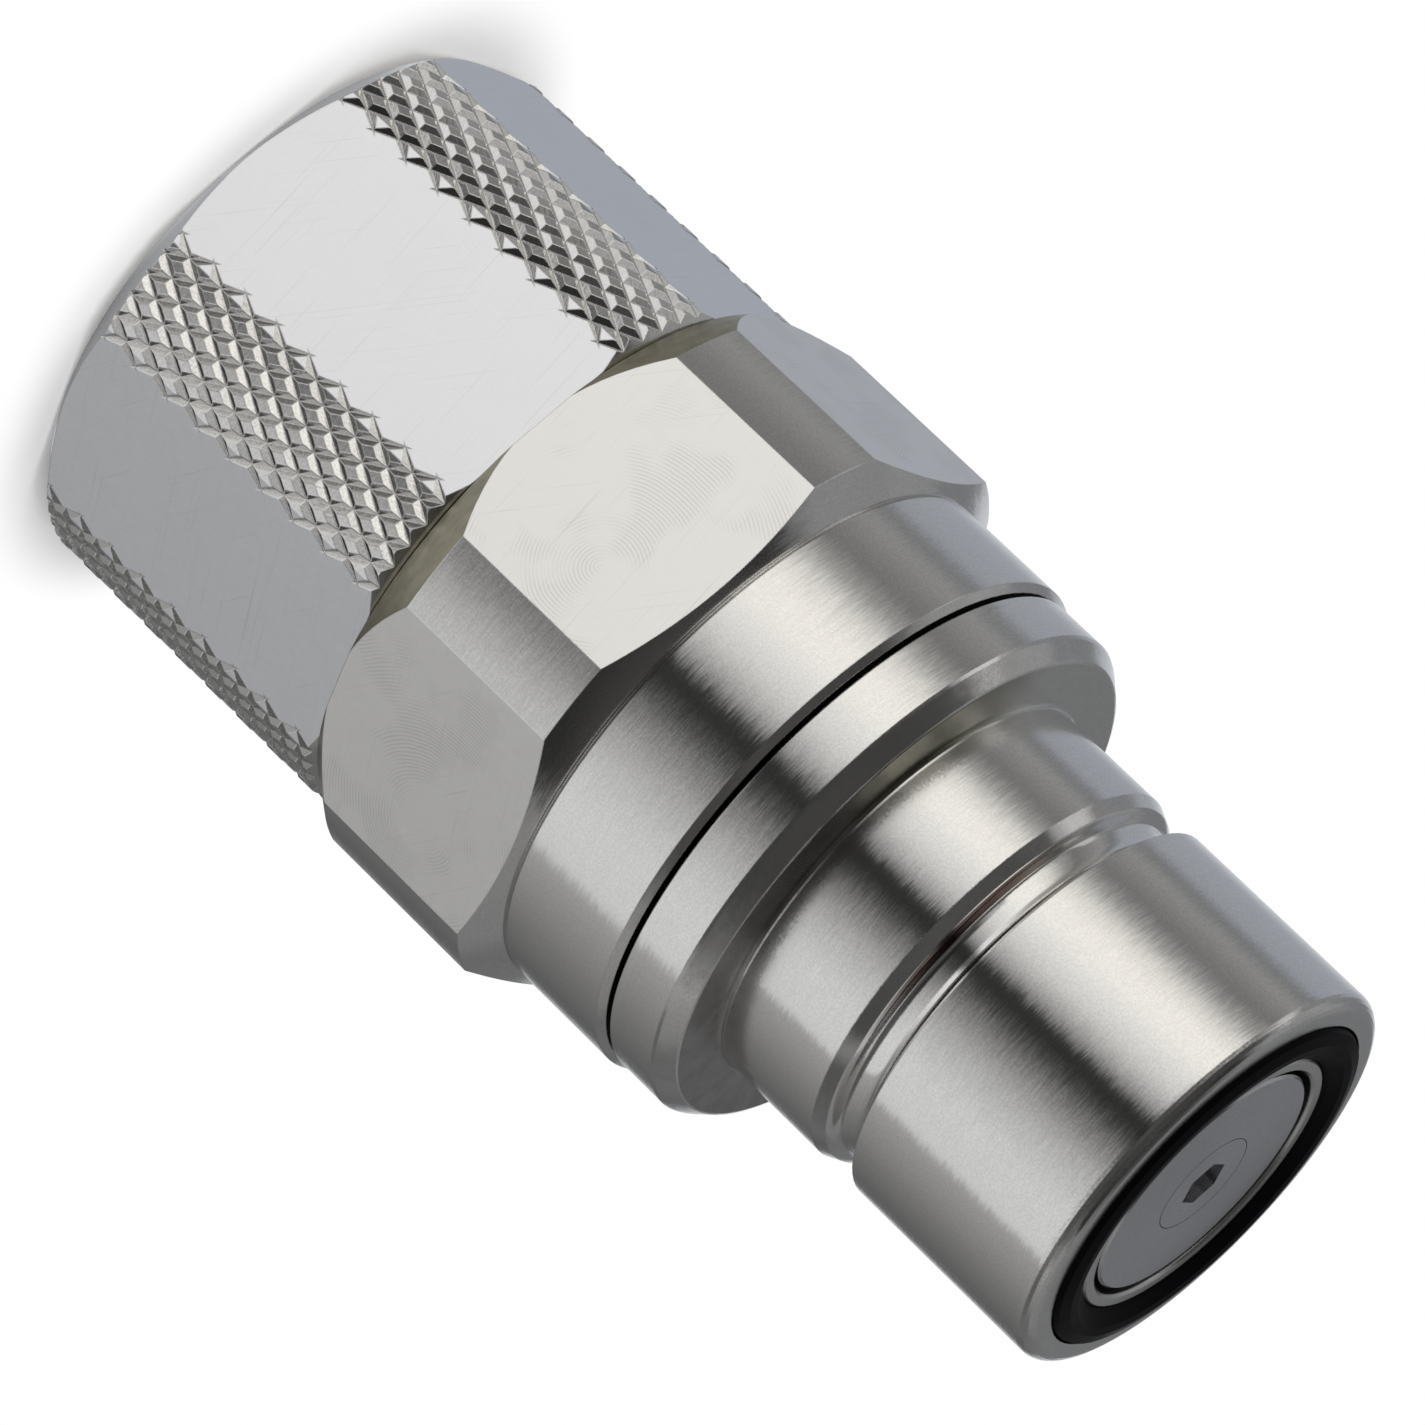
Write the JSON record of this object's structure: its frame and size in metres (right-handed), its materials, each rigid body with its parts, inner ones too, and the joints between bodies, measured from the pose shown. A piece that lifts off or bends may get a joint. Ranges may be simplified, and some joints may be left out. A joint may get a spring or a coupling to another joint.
{
  "type": "liquid cooling quick coupling plug",
  "caption": "Plug half of a flush-face, no-spill coolant coupling: knurled clamp nut for plain tube, hexagon body, collar, locking groove and a sprung flush valve in the nose.",
  "frame": {"origin": "centre of the clamp nut's free end face, which the part stands on", "axes": "+Z along the common axis towards the nose; the hexagon's flats face +Y and -Y"},
  "size_m": [0.0217, 0.02, 0.0413],
  "materials": {
    "nut_metal": "satin milled flats, knurled bands",
    "body_metal": "turned and brushed round the axis, polished in the groove",
    "inner_metal": "turned",
    "disc_metal": "fine turned",
    "spring_steel": "drawn wire",
    "rubber": "moulded, matt"
  },
  "bodies": {
    "root": {"rear_body": "body_metal", "body_o_ring": "rubber", "nose_body": "body_metal", "face_seal": "rubber", "seat_sleeve": "inner_metal", "sleeve_o_ring": "rubber", "valve_guide": "inner_metal", "valve_spring": "spring_steel"},
    "valve": {"valve_disc": "disc_metal", "valve_screw": "disc_metal", "valve_o_ring": "rubber", "valve_stem": "inner_metal"},
    "ring": {"clamp_ring": "inner_metal"},
    "nut": {"clamp_nut": "nut_metal"}
  },
  "joints": [
    {"name": "valve_slide", "type": "slide", "parent": "root", "child": "valve", "axis": [0, 0, -1], "range_m": [0, 0.005], "stiffness_N_per_m": 1500, "springref_m": -0.004, "deforming": ["valve_spring"]},
    {"name": "ring_travel", "type": "slide", "parent": "root", "child": "ring", "axis": [0, 0, -1], "range_m": [0, 0.006]},
    {"name": "nut_turn", "type": "hinge", "parent": "ring", "child": "nut", "pos_m": [0, 0, 0], "axis": [0, 0, -1], "range_deg": [0, 2160]}
  ],
  "couplings": [
    {"joint": "ring_travel", "follows": "nut_turn", "m_per_rad": 0.00015915}
  ]
}
